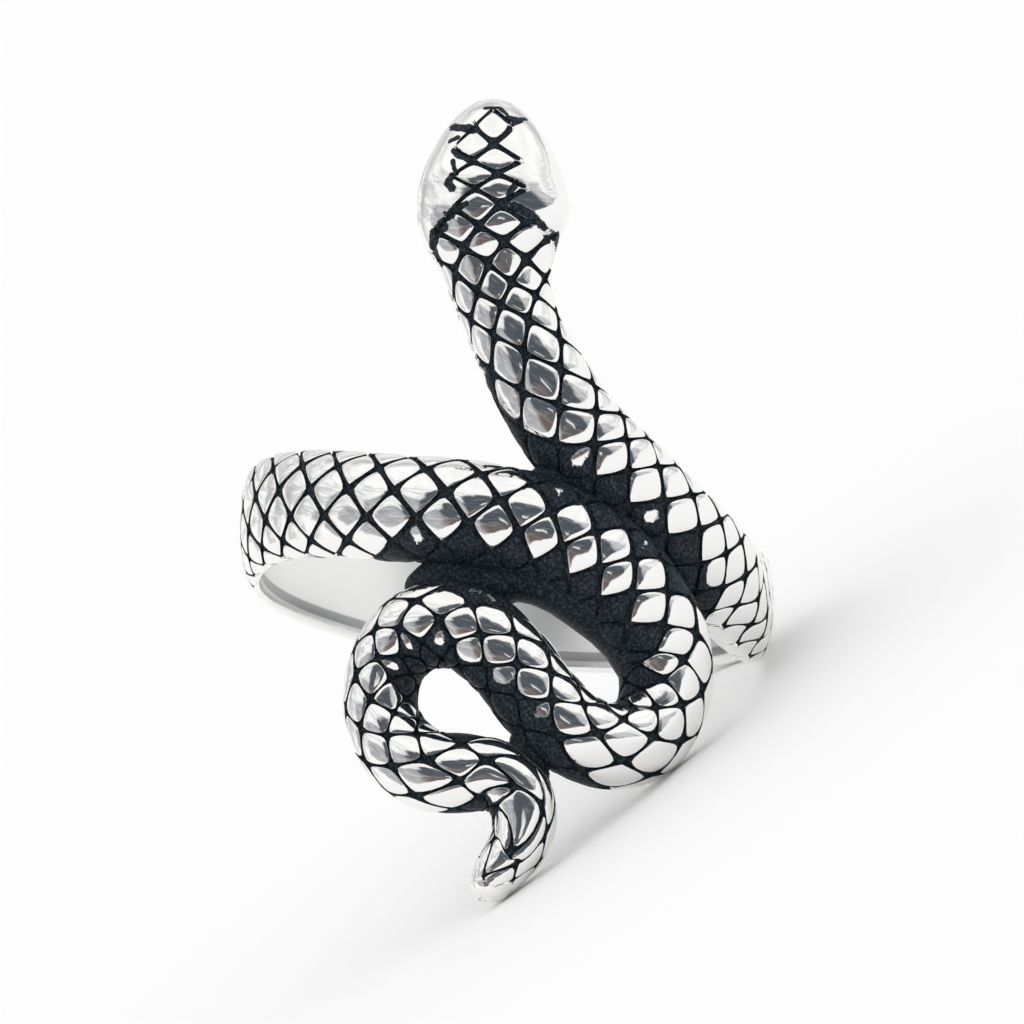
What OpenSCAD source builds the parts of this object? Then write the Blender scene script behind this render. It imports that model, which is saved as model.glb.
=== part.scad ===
// Snake ring: a scaled snake wound once round the finger, with its head up
// and its tail curled below. One cast piece.

/* [Size] */
// inside diameter of the hoop, where the finger goes
inner_diameter = 19; // [17.2:0.1:21.4]
// length from the snout to the tip of the tail, measured along the finger
head_to_tail = 31.6; // [29:0.1:35]
// thickness of the body, 1 for the size in the body table
fullness = 1; // [0.96:0.01:1.02]

/* [Scales] */
// depth of the grooves between the scales
groove_depth = 0.26; // [0.12:0.01:0.32]
// part of its place on the skin that a scale fills
scale_share = 0.8; // [0.65:0.01:0.86]
// part of the way to a corner of its place that a scale reaches
corner_share = 0.74; // [0.6:0.01:0.82]

/* [Resting pose] */
// turn about the front to back line, from upright to lying
roll = 36.43; // [30:0.01:50]
// lean back about the side to side line, after the roll
lean = 19.02; // [10:0.01:25]

/* [Hidden] */

design_diameter = 19;
unit = inner_diameter / design_diameter;
bore_r = inner_diameter / 2;
// Stretch of the hole, along the finger, that the band surrounds on all sides,
// and how much wider the hole gets by the snout and by the tail tip.
wall_low = -2.3 * unit;
wall_high = 0.8 * unit;
flare = 0.25 * unit;
columns = 12;
column_angle = 360 / columns;
steps_per_row = 6;
tip_length = 0.12;

// The body, a row per section from the snout to the tail tip:
// turn  degrees round the finger, 0 in front and 90 at the right
// z     height along the finger, in mm
// rise  centre of the section above the bore, in mm
// half  half of the width, in mm
// deep  half of the depth, in mm
// full  2 for an ellipse, more for a squarer section
// count scale rows counted along the body
// twist degrees that the columns of scales have turned
// crowd how closely the columns gather on the crown, 0 for evenly spread
// reach degrees to each side of the crown where scales are raised
// cut   share of the groove depth
TURN = 0;
Z = 1;
RISE = 2;
HALF = 3;
DEEP = 4;
FULL = 5;
COUNT = 6;
TWIST = 7;
CROWD = 8;
REACH = 9;
CUT = 10;
BODY = [
  // turn, z, rise, half, deep, full, count, twist, crowd, reach, cut
  [-3.2, 15.26, 1.08, 0.60, 0.46, 2.0, -9.0, 17, 0.42, 0, 0.1],
  [-3.2, 14.95, 1.12, 1.08, 0.80, 2.0, -8.4, 17, 0.42, 5, 0.3],
  [-3.2, 14.26, 1.20, 1.73, 1.25, 2.0, -7.4, 17, 0.42, 20, 0.5],
  [-3.2, 13.38, 1.28, 2.26, 1.60, 2.0, -6.4, 16, 0.42, 20, 0.6],
  [-3.2, 12.38, 1.35, 2.69, 1.85, 2.1, -5.0, 13, 0.45, 20, 0.7],
  [-3.2, 11.39, 1.40, 2.91, 1.98, 2.1, -3.2, 10.5, 0.45, 20, 0.8],
  [-3.1, 10.50, 1.40, 2.88, 1.95, 2.1, -1.6, 9, 0.45, 30, 0.9],
  [-2.8, 9.75, 1.30, 2.62, 1.80, 2.1, -0.3, 8, 0.43, 55, 1],
  [-2.4, 9.20, 1.20, 2.35, 1.68, 2.0, 0.4, 8, 0.38, 80, 1],
  [-1.3, 7.90, 1.10, 1.98, 1.60, 2.0, 1.8, 8, 0.30, 110, 1],
  [1.5, 6.30, 1.10, 1.85, 1.65, 2.0, 3.8, 8, 0.20, 115, 1],
  [6.7, 4.30, 1.10, 1.95, 1.75, 2.0, 5.8, 8, 0.10, 115, 1],
  [14.0, 2.30, 1.00, 2.05, 1.80, 2.0, 8.1, 8, 0, 115, 1],
  [25.5, 0.50, 0.90, 2.10, 1.70, 2.0, 11.7, 6, 0, 115, 1],
  [41.6, -1.30, 0.60, 2.12, 1.80, 2.0, 15.9, 5, 0, 112, 1],
  [52, -2.05, 0.40, 2.20, 1.65, 2.0, 18.7, 7, 0, 106, 1],
  [62, -2.60, 0.20, 2.36, 1.35, 2.0, 21.2, 8, 0, 95, 1],
  [72, -2.62, 0.10, 2.38, 1.00, 2.0, 23.3, 12, 0, 86, 0.9],
  [82, -2.30, 0.10, 2.20, 0.74, 2.0, 25.3, 16, 0, 80, 0.7],
  [94, -1.75, 0.20, 2.00, 0.60, 2.1, 27.6, 16, 0, 70, 0.5],
  [125, -1.05, 0.35, 2.00, 0.52, 2.4, 32.6, 6, 0, 0, 0],
  [180, 0.0, 0.35, 2.05, 0.52, 2.6, 41.2, -4, 0, 0, 0],
  [230, 0.80, 0.35, 2.10, 0.52, 2.5, 49.6, -10, 0, 0, 0],
  [270, 0.96, 0.25, 2.20, 0.60, 2.2, 56.4, -12, 0, 80, 0.6],
  [303.2, 0.62, 0.45, 2.12, 1.20, 2.0, 62.1, -12, 0, 100, 1],
  [336, -0.50, 0.85, 2.10, 1.75, 2.0, 68.4, -12, 0, 115, 1],
  [354, -1.12, 1.10, 2.17, 1.85, 2.0, 72.0, -12, 0, 115, 1],
  [370.6, -2.22, 1.20, 2.40, 1.85, 2.0, 76.0, -12, 0, 115, 1],
  [386.4, -4.42, 1.20, 2.38, 1.80, 2.0, 80.8, -14, 0, 115, 1],
  [394.5, -6.30, 1.05, 2.03, 1.72, 2.0, 83.7, -22, 0, 115, 1],
  [394.0, -8.30, 1.00, 1.77, 1.65, 2.0, 85.8, -30, 0, 115, 1],
  [388.5, -9.60, 1.10, 1.70, 1.60, 2.0, 87.6, -36, 0, 115, 1],
  [381.0, -10.0, 1.20, 1.70, 1.60, 2.0, 89.0, -36, 0, 115, 1],
  [373.5, -9.65, 1.30, 1.70, 1.60, 2.0, 90.5, -35, 0, 115, 1],
  [367.0, -8.55, 1.30, 1.70, 1.60, 2.0, 92.3, -33, 0, 115, 1],
  [359.7, -6.79, 1.30, 1.70, 1.60, 2.0, 94.8, -38, 0, 115, 1],
  [350.5, -5.45, 1.30, 1.72, 1.60, 2.0, 97.4, -39, 0, 115, 1],
  [340.4, -5.54, 1.20, 1.65, 1.60, 2.0, 99.9, -38, 0, 115, 1],
  [333.8, -6.80, 1.10, 1.48, 1.53, 2.0, 102.3, -46, 0, 115, 1],
  [332.6, -8.40, 1.10, 1.45, 1.50, 2.0, 104.0, -45, 0, 115, 1],
  [336.0, -9.95, 1.10, 1.55, 1.50, 2.0, 105.9, -43, 0, 115, 1],
  [344.0, -11.05, 1.10, 1.60, 1.50, 2.0, 107.9, -46, 0, 115, 1],
  [352.0, -11.22, 1.10, 1.52, 1.45, 2.0, 109.2, -46, 0, 115, 1],
  [357.5, -11.35, 1.15, 1.42, 1.38, 2.0, 110.3, -48, 0, 115, 1],
  [361.8, -11.95, 1.15, 1.36, 1.34, 2.0, 111.4, -50, 0, 115, 0.9],
  [363.4, -12.95, 1.15, 1.28, 1.26, 2.0, 112.6, -50, 0, 115, 0.8],
  [362.3, -13.95, 1.10, 1.18, 1.20, 2.0, 113.7, -50, 0, 115, 0.8],
  [359.4, -14.80, 1.10, 1.06, 1.12, 2.0, 114.8, -50, 0, 115, 0.7],
  [356.7, -15.50, 1.05, 0.86, 0.96, 2.0, 115.8, -50, 0, 115, 0.5],
  [355.0, -16.05, 1.00, 0.50, 0.60, 2.0, 117.0, -50, 0, 115, 0.2],
];
LAST = len(BODY) - 1;

// Scale rows where one stretch of the body hands over to the next.
HEAD_START = -9;
SHANK_START = 39;
DIAGONAL_START = 87;
TAIL_START = 102;
TAIL_END = 117;

// Metal run into the hollows where two coils lie against each other, as chains
// of round links below the tops of the coils.
LINK_TURN = 0;
LINK_Z = 1;
LINK_RISE = 2;
LINK_R = 3;
NECK_TO_BAND = [
  // turn, z, rise, r
  [9, 0.1, 0.8, 1.0],
  [17, -1.1, 0.8, 1.0],
  [25, -2.1, 0.8, 1.1],
  [34, -3.2, 0.7, 1.0],
];
BAND_TO_DIAGONAL = [
  // turn, z, rise, r
  [-16, -3.5, 0.3, 0.95],
  [-7, -3.45, 0.2, 1.2],
  [1, -3.25, 0.5, 1.0],
];
DIAGONAL_TO_TAIL = [
  // turn, z, rise, r
  [4, -10.0, 1.0, 0.7],
  [5, -11.3, 1.0, 0.7],
];

function unit_vector(v) = v / norm(v);

// Centre of a section, worked out from its turn, height and rise.
function centre_of(turn, z, rise) =
  let (r = bore_r + rise * unit) [r * sin(turn), -r * cos(turn), z * unit];
function row_centre(i) = centre_of(BODY[i][TURN], BODY[i][Z], BODY[i][RISE]);
GAPS = [for (i = [0 : LAST - 1]) norm(row_centre(i + 1) - row_centre(i))];

// Change of the whole row per mm at row i, for a smooth curve through all rows.
function pace(i) =
  i == 0 ? (BODY[1] - BODY[0]) / GAPS[0] :
  i == LAST ? (BODY[LAST] - BODY[LAST - 1]) / GAPS[LAST - 1] :
  ((BODY[i + 1] - BODY[i]) / GAPS[i] * GAPS[i - 1]
    + (BODY[i] - BODY[i - 1]) / GAPS[i - 1] * GAPS[i]) / (GAPS[i - 1] + GAPS[i]);
PACES = [for (i = [0 : LAST]) pace(i)];
function between(i, t) =
  (2 * t^3 - 3 * t^2 + 1) * BODY[i] + (t^3 - 2 * t^2 + t) * GAPS[i] * PACES[i]
  + (3 * t^2 - 2 * t^3) * BODY[i + 1] + (t^3 - t^2) * GAPS[i] * PACES[i + 1];
CURVE = concat(
  [for (i = [0 : LAST - 1]) for (k = [0 : steps_per_row - 1]) between(i, k / steps_per_row)],
  [BODY[LAST]]
);
COLUMN_CURVES = [for (c = [0 : CUT]) [for (p = CURVE) [p[COUNT], p[c]]]];
function at(count, c) = lookup(count, COLUMN_CURVES[c]);
function centre(count) = centre_of(at(count, TURN), at(count, Z), at(count, RISE));

// Angle round the section of a column of scales, 0 on the crown.
function column_turn(count, column) =
  let (even = column * column_angle)
  even - at(count, CROWD) * sin(even) * 180 / PI + at(count, TWIST);

// Point of the skin, sunk below the outline by a depth.
function skin(count, column, sunk) =
  let (
    low = max(count - 0.3, HEAD_START),
    high = min(count + 0.3, TAIL_END),
    along = unit_vector(centre(high) - centre(low)),
    turn = at(count, TURN),
    away = [sin(turn), -cos(turn), 0],
    out = unit_vector(away - (away * along) * along),
    side = cross(along, out),
    a = column_turn(count, column),
    n = at(count, FULL),
    k = (abs(cos(a))^n + abs(sin(a))^n)^(-1 / n),
    size = k * fullness * unit
  )
  centre(count) + side * (at(count, HALF) * size - sunk) * sin(a)
    + out * (at(count, DEEP) * size - sunk) * cos(a);

function wrapped(a) = a - 360 * round(a / 360);
function is_raised(count, column) =
  abs(wrapped(column_turn(count, column))) < at(count, REACH);
function groove(count) = groove_depth * at(count, CUT) * unit;

// Eight rim points of a scale, in scale rows and columns from its centre.
RIM = [for (k = [0 : 7]) let (r = k % 2 == 0 ? corner_share : scale_share / sqrt(2))
  [r * cos(45 * k), r * sin(45 * k)]];

// A stretch of the body between two scale rows. Scales sit where row and column
// add up to an even number, and the corners of their places where the sum is odd.
module stretch(first, last, start_count, end_count, start_push, end_push) {
  rows = last - first + 1;
  corners = [for (q = [first : last]) for (c = [0 : columns - 1])
    (q + c) % 2 == 0 ? centre(q) : skin(q, c, groove(q))];
  cells = [for (q = [first + 1 : last - 1]) for (c = [0 : columns - 1]) if ((q + c) % 2 == 0) [q, c]];
  raised = [for (p = cells) if (is_raised(p[0], p[1])) p];
  plain = [for (p = cells) if (!is_raised(p[0], p[1])) p];
  tops = [for (p = raised) each concat([skin(p[0], p[1], 0)],
    [for (r = RIM) skin(p[0] + r[0], p[1] + r[1], 0)])];
  ends = [
    centre(start_count) + start_push * unit_vector(centre(first) - centre(first + 1)),
    centre(end_count) + end_push * unit_vector(centre(last) - centre(last - 1))
  ];
  top_start = len(corners);
  end_start = top_start + len(tops);
  function corner(q, c) = (q - first) * columns + (c + columns) % columns;
  function places(p) = [corner(p[0] + 1, p[1]), corner(p[0], p[1] + 1),
    corner(p[0] - 1, p[1]), corner(p[0], p[1] - 1)];
  faces = concat(
    [for (p = plain) let (g = places(p)) each [[g[0], g[1], g[2]], [g[0], g[2], g[3]]]],
    [for (i = [0 : len(raised) - 1]) if (len(raised) > 0)
      let (g = places(raised[i]), t = top_start + i * 9)
      each concat(
        [for (k = [0 : 7]) [t, t + 1 + k, t + 1 + (k + 1) % 8]],
        [for (k = [0 : 3]) let (a = g[k], b = g[(k + 1) % 4], m = t + 2 + 2 * k)
          each [[a, b, m], [a, m, t + 1 + 2 * k], [b, t + 1 + (2 * k + 2) % 8, m]]]
      )],
    [for (c = [0 : columns - 1]) if ((first + c) % 2 != 0)
      each [[end_start, corner(first, c), corner(first + 1, c + 1)],
        [end_start, corner(first + 1, c - 1), corner(first, c)]]],
    [for (c = [0 : columns - 1]) if ((last + c) % 2 != 0)
      each [[end_start + 1, corner(last - 1, c + 1), corner(last, c)],
        [end_start + 1, corner(last, c), corner(last - 1, c - 1)]]]
  );
  polyhedron(points = concat(corners, tops, ends), faces = faces, convexity = 10);
}

module head_and_neck() {
  stretch(HEAD_START, SHANK_START + 1, HEAD_START, SHANK_START + 2, tip_length, 0);
}

module shank_and_front() {
  stretch(SHANK_START, DIAGONAL_START + 1, SHANK_START - 1, DIAGONAL_START + 2, 0, 0);
}

module diagonal() {
  stretch(DIAGONAL_START, TAIL_START + 1, DIAGONAL_START - 1, TAIL_START + 2, 0, 0);
}

module tail() {
  stretch(TAIL_START, TAIL_END, TAIL_START - 1, TAIL_END, 0, tip_length);
}

module chain(links) {
  for (i = [0 : len(links) - 2]) hull() {
    link(links[i]);
    link(links[i + 1]);
  }
}

module link(row) {
  translate(centre_of(row[LINK_TURN], row[LINK_Z], row[LINK_RISE]))
    sphere(r = row[LINK_R] * unit, $fn = 14);
}

module webs() {
  chain(NECK_TO_BAND);
  chain(BAND_TO_DIAGONAL);
  chain(DIAGONAL_TO_TAIL);
}

module finger_hole() {
  reach = head_to_tail;
  translate([0, 0, wall_low])
    cylinder(r = bore_r, h = wall_high - wall_low, $fn = 96);
  translate([0, 0, wall_high])
    cylinder(r1 = bore_r, r2 = bore_r + flare, h = reach, $fn = 96);
  translate([0, 0, wall_low - reach])
    cylinder(r1 = bore_r + flare, r2 = bore_r, h = reach, $fn = 96);
}

module snake_ring() {
  color([0.78, 0.78, 0.79])
    rotate([-lean, 0, 0]) rotate([0, roll, 0])
      difference() {
        resize([0, 0, head_to_tail]) union() {
          head_and_neck();
          shank_and_front();
          diagonal();
          tail();
          webs();
        }
        finger_hole();
      }
}

snake_ring();
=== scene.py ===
"""Looks of the snake ring: polished silver scales with black in the grooves and hollows.

The body is swept along the same route as the part's solid, as a net of scales: each
scale is a domed pad inside its own diamond of the net, with a groove all round it.
The tables are in mm and degrees in the ring's own frame, with the finger along Z.
"""

import bpy
import numpy as np
from mathutils import Matrix, Vector


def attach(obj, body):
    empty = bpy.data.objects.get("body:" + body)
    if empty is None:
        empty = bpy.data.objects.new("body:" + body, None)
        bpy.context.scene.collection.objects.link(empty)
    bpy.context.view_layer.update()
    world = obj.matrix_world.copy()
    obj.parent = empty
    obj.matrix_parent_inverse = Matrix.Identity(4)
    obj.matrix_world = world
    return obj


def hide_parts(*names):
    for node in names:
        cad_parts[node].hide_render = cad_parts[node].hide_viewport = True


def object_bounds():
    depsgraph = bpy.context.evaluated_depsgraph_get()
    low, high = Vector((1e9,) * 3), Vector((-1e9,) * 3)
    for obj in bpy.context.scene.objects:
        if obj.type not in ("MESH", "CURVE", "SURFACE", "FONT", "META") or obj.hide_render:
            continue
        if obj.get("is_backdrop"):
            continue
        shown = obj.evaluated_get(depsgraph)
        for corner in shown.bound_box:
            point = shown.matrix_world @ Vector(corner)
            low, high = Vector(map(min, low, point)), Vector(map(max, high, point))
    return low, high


bl_info = {
    "name": "Snake ring",
    "version": (1, 0, 0),
    "blender": (4, 5, 0),
    "location": "View3D > Sidebar > Snake ring",
    "description": "Builds the polished and blackened skin of a scaled snake ring",
    "category": "Object",
}

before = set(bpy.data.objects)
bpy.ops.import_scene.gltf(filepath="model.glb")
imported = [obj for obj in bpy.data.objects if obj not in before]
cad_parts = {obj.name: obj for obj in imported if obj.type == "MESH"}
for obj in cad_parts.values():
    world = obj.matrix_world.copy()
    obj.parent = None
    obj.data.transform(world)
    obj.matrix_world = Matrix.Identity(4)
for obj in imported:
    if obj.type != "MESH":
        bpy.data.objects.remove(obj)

MM = 0.001
TO_DEGREES = 180 / np.pi

# The body, a row per section from the snout to the tail tip: turn round the finger,
# height along it, rise of the centre above the bore, half width, half depth,
# squareness (2 is an ellipse), scale rows counted along the body, turn of the scale
# columns, how they crowd on the crown, degrees from the crown to which the scales
# reach, groove depth share
TURN, Z, RISE, HALF, DEEP, FULL, COUNT, TWIST, CROWD, REACH, CUT = range(11)
BODY = np.array([
    (-3.2, 15.40, 1.06, 0.05, 0.05, 2.0, -10.0, 17, 0.32, 0, 0),
    (-3.2, 15.35, 1.07, 0.33, 0.26, 2.0, -9.5, 17, 0.32, 0, 0),
    (-3.2, 15.26, 1.08, 0.60, 0.46, 2.0, -9.0, 17, 0.32, 0, 0.1),
    (-3.2, 14.95, 1.12, 1.08, 0.80, 2.0, -8.4, 17, 0.32, 5, 0.3),
    (-3.2, 14.26, 1.20, 1.73, 1.25, 2.0, -7.4, 17, 0.32, 20, 0.5),
    (-3.2, 13.38, 1.28, 2.26, 1.60, 2.0, -6.4, 16, 0.32, 20, 0.6),
    (-3.2, 12.38, 1.35, 2.69, 1.85, 2.1, -5.0, 13, 0.37, 20, 0.7),
    (-3.2, 11.39, 1.40, 2.91, 1.98, 2.1, -3.2, 10.5, 0.37, 20, 0.8),
    (-3.1, 10.50, 1.40, 2.88, 1.95, 2.1, -1.6, 9, 0.40, 30, 0.9),
    (-2.8, 9.75, 1.30, 2.62, 1.80, 2.1, -0.3, 8, 0.40, 55, 1),
    (-2.4, 9.20, 1.20, 2.35, 1.68, 2.0, 0.4, 8, 0.38, 80, 1),
    (-1.3, 7.90, 1.10, 1.98, 1.60, 2.0, 1.8, 8, 0.30, 110, 1),
    (1.5, 6.30, 1.10, 1.85, 1.65, 2.0, 3.8, 8, 0.20, 115, 1),
    (6.7, 4.30, 1.10, 1.95, 1.75, 2.0, 5.8, 8, 0.10, 115, 1),
    (14.0, 2.30, 1.00, 2.05, 1.80, 2.0, 8.1, 8, 0, 115, 1),
    (25.5, 0.50, 0.90, 2.10, 1.70, 2.0, 11.7, 6, 0, 115, 1),
    (41.6, -1.30, 0.60, 2.12, 1.80, 2.0, 15.9, 5, 0, 112, 1),
    (52, -2.05, 0.40, 2.20, 1.65, 2.0, 18.7, 7, 0, 106, 1),
    (62, -2.60, 0.20, 2.36, 1.35, 2.0, 21.2, 8, 0, 95, 1),
    (72, -2.62, 0.10, 2.38, 1.00, 2.0, 23.3, 12, 0, 86, 0.9),
    (82, -2.30, 0.10, 2.20, 0.74, 2.0, 25.3, 16, 0, 80, 0.7),
    (94, -1.75, 0.20, 2.00, 0.60, 2.1, 27.6, 16, 0, 70, 0.5),
    (125, -1.05, 0.35, 2.00, 0.52, 2.4, 32.6, 6, 0, 0, 0),
    (180, 0.0, 0.35, 2.05, 0.52, 2.6, 41.2, -4, 0, 0, 0),
    (230, 0.80, 0.35, 2.10, 0.52, 2.5, 49.6, -10, 0, 0, 0),
    (270, 0.96, 0.25, 2.20, 0.60, 2.2, 56.4, -12, 0, 80, 0.6),
    (303.2, 0.62, 0.45, 2.12, 1.20, 2.0, 62.1, -12, 0, 100, 1),
    (336, -0.50, 0.85, 2.10, 1.75, 2.0, 68.4, -12, 0, 115, 1),
    (354, -1.05, 1.10, 2.10, 1.85, 2.0, 72.0, -12, 0, 115, 1),
    (371.3, -2.02, 1.20, 2.15, 1.85, 2.0, 76.0, -12, 0, 115, 1),
    (387.3, -4.26, 1.20, 2.15, 1.80, 2.0, 80.8, -14, 0, 115, 1),
    (394.8, -6.30, 1.05, 1.98, 1.72, 2.0, 83.7, -22, 0, 115, 1),
    (394.0, -8.30, 1.00, 1.77, 1.65, 2.0, 85.8, -30, 0, 115, 1),
    (388.5, -9.60, 1.10, 1.70, 1.60, 2.0, 87.6, -36, 0, 115, 1),
    (381.0, -10.0, 1.20, 1.70, 1.60, 2.0, 89.0, -36, 0, 115, 1),
    (373.5, -9.65, 1.30, 1.70, 1.60, 2.0, 90.5, -35, 0, 115, 1),
    (367.0, -8.55, 1.30, 1.70, 1.60, 2.0, 92.3, -33, 0, 115, 1),
    (359.7, -6.79, 1.30, 1.70, 1.60, 2.0, 94.8, -38, 0, 115, 1),
    (350.5, -5.45, 1.30, 1.72, 1.60, 2.0, 97.4, -39, 0, 115, 1),
    (340.4, -5.54, 1.20, 1.65, 1.60, 2.0, 99.9, -38, 0, 115, 1),
    (333.8, -6.80, 1.10, 1.48, 1.53, 2.0, 102.3, -46, 0, 115, 1),
    (332.6, -8.40, 1.10, 1.45, 1.50, 2.0, 104.0, -45, 0, 115, 1),
    (336.0, -9.95, 1.10, 1.55, 1.50, 2.0, 105.9, -43, 0, 115, 1),
    (344.0, -11.05, 1.10, 1.60, 1.50, 2.0, 107.9, -46, 0, 115, 1),
    (352.0, -11.22, 1.10, 1.52, 1.45, 2.0, 109.2, -46, 0, 115, 1),
    (357.5, -11.35, 1.15, 1.42, 1.38, 2.0, 110.3, -48, 0, 115, 1),
    (361.8, -11.95, 1.15, 1.36, 1.34, 2.0, 111.4, -50, 0, 115, 0.9),
    (363.4, -12.95, 1.15, 1.28, 1.26, 2.0, 112.6, -50, 0, 115, 0.8),
    (362.3, -13.95, 1.10, 1.18, 1.20, 2.0, 113.7, -50, 0, 115, 0.8),
    (359.4, -14.80, 1.10, 1.06, 1.12, 2.0, 114.8, -50, 0, 115, 0.7),
    (356.7, -15.50, 1.05, 0.86, 0.96, 2.0, 115.8, -50, 0, 115, 0.5),
    (355.0, -16.05, 1.00, 0.50, 0.60, 2.0, 117.0, -50, 0, 115, 0.2),
    (354.5, -16.26, 1.00, 0.05, 0.05, 2.0, 118.0, -50, 0, 0, 0),
])

# Scale rows at the snout and the tail tip, limits between which rows are raised as
# scales, a row about half way, scale columns all round, parts of a diamond's side
FIRST_ROW, LAST_ROW = -10, 118
FIRST_RAISED, LAST_RAISED = -7.5, 115.5
HALF_WAY = 50
COLUMNS = 12
EDGE_PARTS = 5

# How the scales sit, by scale row: columns where the black begins towards the
# lower and the upper column numbers (9 is past the last one, so no black), reach of
# a scale along and across, roundness, most share of its diamond that a scale fills,
# how this differs between its sides
ROW, BLACK_LOW, BLACK_HIGH, ALONG, ACROSS, ROUND, MOST, ASKEW = range(8)
SCALES = np.array([
    (-10, -9, 9, 0.70, 0.88, 1.80, 0.86, 0.00),
    (-2, -9, 9, 0.69, 0.84, 1.85, 0.84, 0.00),
    (0, -9, 9, 0.66, 0.78, 2.00, 0.83, 0.00),
    (3, -9, 9, 0.71, 0.80, 2.00, 0.87, 0.00),
    (4.5, -9, 3.2, 0.74, 0.83, 1.90, 0.91, 0.00),
    (5.5, -9, 2.3, 0.75, 0.84, 1.80, 0.93, 0.00),
    (7, -9, 1.6, 0.75, 0.85, 1.78, 0.93, 0.00),
    (8, -9, 0.9, 0.76, 0.85, 1.76, 0.935, 0.00),
    (9, -9, 0.85, 0.76, 0.86, 1.75, 0.935, 0.00),
    (10, -9, 0.72, 0.76, 0.86, 1.74, 0.935, 0.00),
    (15, -9, 0.70, 0.77, 0.86, 1.72, 0.935, 0.00),
    (17, -9, 0.95, 0.78, 0.86, 1.71, 0.935, 0.00),
    (18.5, -9, 1.7, 0.78, 0.86, 1.70, 0.935, 0.00),
    (20, -9, 2.2, 0.78, 0.86, 1.70, 0.935, 0.00),
    (21, -9, 9, 0.78, 0.86, 1.70, 0.935, 0.00),
    (40, -9, 9, 0.78, 0.88, 1.70, 0.935, 0.00),
    (60, -9, 9, 0.80, 0.84, 1.70, 0.90, 0.00),
    (66.5, -9, 4, 0.79, 0.84, 1.75, 0.89, 0.00),
    (68, -9, 2.3, 0.78, 0.85, 1.77, 0.89, 0.01),
    (70, -9, 1.7, 0.76, 0.86, 1.80, 0.88, 0.03),
    (72, -9, 1.45, 0.74, 0.88, 1.80, 0.895, 0.03),
    (73, -1.6, 1.45, 0.74, 0.88, 1.80, 0.895, 0.03),
    (74.5, -0.8, 1.45, 0.74, 0.88, 1.80, 0.895, 0.03),
    (75.5, -0.55, 1.45, 0.74, 0.88, 1.80, 0.895, 0.03),
    (81, -0.55, 1.5, 0.74, 0.88, 1.80, 0.895, 0.03),
    (82.3, -0.9, 1.6, 0.75, 0.84, 1.90, 0.935, 0.02),
    (83, -9, 2.0, 0.76, 0.82, 1.94, 0.935, 0.01),
    (86, -9, 2.6, 0.77, 0.80, 2.00, 0.945, 0.00),
    (88, -9, 3.3, 0.77, 0.80, 2.00, 0.945, 0.00),
    (89.2, -0.7, 9, 0.77, 0.80, 2.00, 0.945, 0.00),
    (90, -0.25, 9, 0.77, 0.80, 2.00, 0.945, 0.00),
    (91, -0.1, 9, 0.77, 0.80, 2.00, 0.945, 0.00),
    (92, 0.3, 9, 0.77, 0.80, 2.00, 0.945, 0.00),
    (93, 0, 9, 0.77, 0.80, 2.00, 0.945, 0.00),
    (94, 0.2, 9, 0.77, 0.80, 2.00, 0.945, 0.00),
    (95.5, 0, 4, 0.77, 0.80, 2.00, 0.945, 0.00),
    (97, 0.2, 2.7, 0.77, 0.80, 2.00, 0.945, 0.00),
    (98.5, 0.3, 2.8, 0.77, 0.80, 2.00, 0.945, 0.00),
    (99.5, 0.3, 9, 0.77, 0.80, 2.00, 0.945, 0.00),
    (103, 0.3, 9, 0.77, 0.80, 2.00, 0.945, 0.00),
    (104, -0.3, 9, 0.77, 0.80, 2.00, 0.945, 0.00),
    (105, -0.9, 9, 0.77, 0.80, 2.00, 0.945, 0.00),
    (107, -0.75, 9, 0.78, 0.80, 2.00, 0.935, 0.00),
    (108, -1.4, 9, 0.78, 0.80, 2.00, 0.935, 0.00),
    (109, -0.5, 3.4, 0.78, 0.80, 2.00, 0.935, 0.00),
    (110.8, -0.5, 2.9, 0.79, 0.81, 2.00, 0.935, 0.00),
    (111.3, -9, 2.7, 0.79, 0.81, 2.00, 0.935, 0.00),
    (112, -9, 3.2, 0.79, 0.82, 2.00, 0.935, 0.00),
    (113, -9, 3.4, 0.79, 0.82, 2.00, 0.935, 0.00),
    (114, -9, 9, 0.79, 0.82, 2.00, 0.94, 0.00),
    (118, -9, 9, 0.80, 0.84, 2.00, 0.945, 0.00),
])

# How much scales differ at random in reach, roundness, place and tilt
SEED = 11
VARIED_ALONG, VARIED_ACROSS, VARIED_ROUND = 0.05, 0.04, 0.08
VARIED_PLACE, VARIED_TILT = 0.03, 0.022
# How far all of them sit to the side of the upper column numbers, in columns, and
# roundness and reach across on the side of the lower and of the upper numbers
SHIFT_ACROSS = 0.06
SIDE_ROUND = 1.15, 0.88
SIDE_ACROSS = 0.94, 1.08
# Power that rounds the meeting of a scale's own rim and its limit in the diamond, and
# the share of its diamond that a cell without a raised scale takes
LIMIT_POWER = 8
PLAIN_SHARE = 0.85
# Rings of points on a scale: share of the way to the rim, share of the dome's drop
PAD_RINGS = (0, 0), (0.4, 0.15), (0.72, 0.5), (0.92, 0.9), (1.0, 1.3)
# The ring in the groove: shares of the rim's and of the diamond's place, depth share
GROOVE_PLACE = 0.55, 0.45
GROOVE_SHARE = 0.9
# The mark named pad runs from 0 at a scale's middle to 1 at its rim. These are its
# values in the groove and at the groove's bottom, and its share where there is none
GROOVE_MARK, BOTTOM_MARK, NO_GROOVE_SHARE = 2.0, 2.3, 0.9
# The mark named zone tells how many columns a point is inside the black: its limits,
# and how much of it comes from the point's own place and from its scale's middle
OUTSIDE_BLACK, DEEPEST_BLACK = -1, 3
POINT_SHARE, SCALE_SHARE = 0.35, 0.65
MARKS = "pad", "zone", "inside", "lower"

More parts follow.
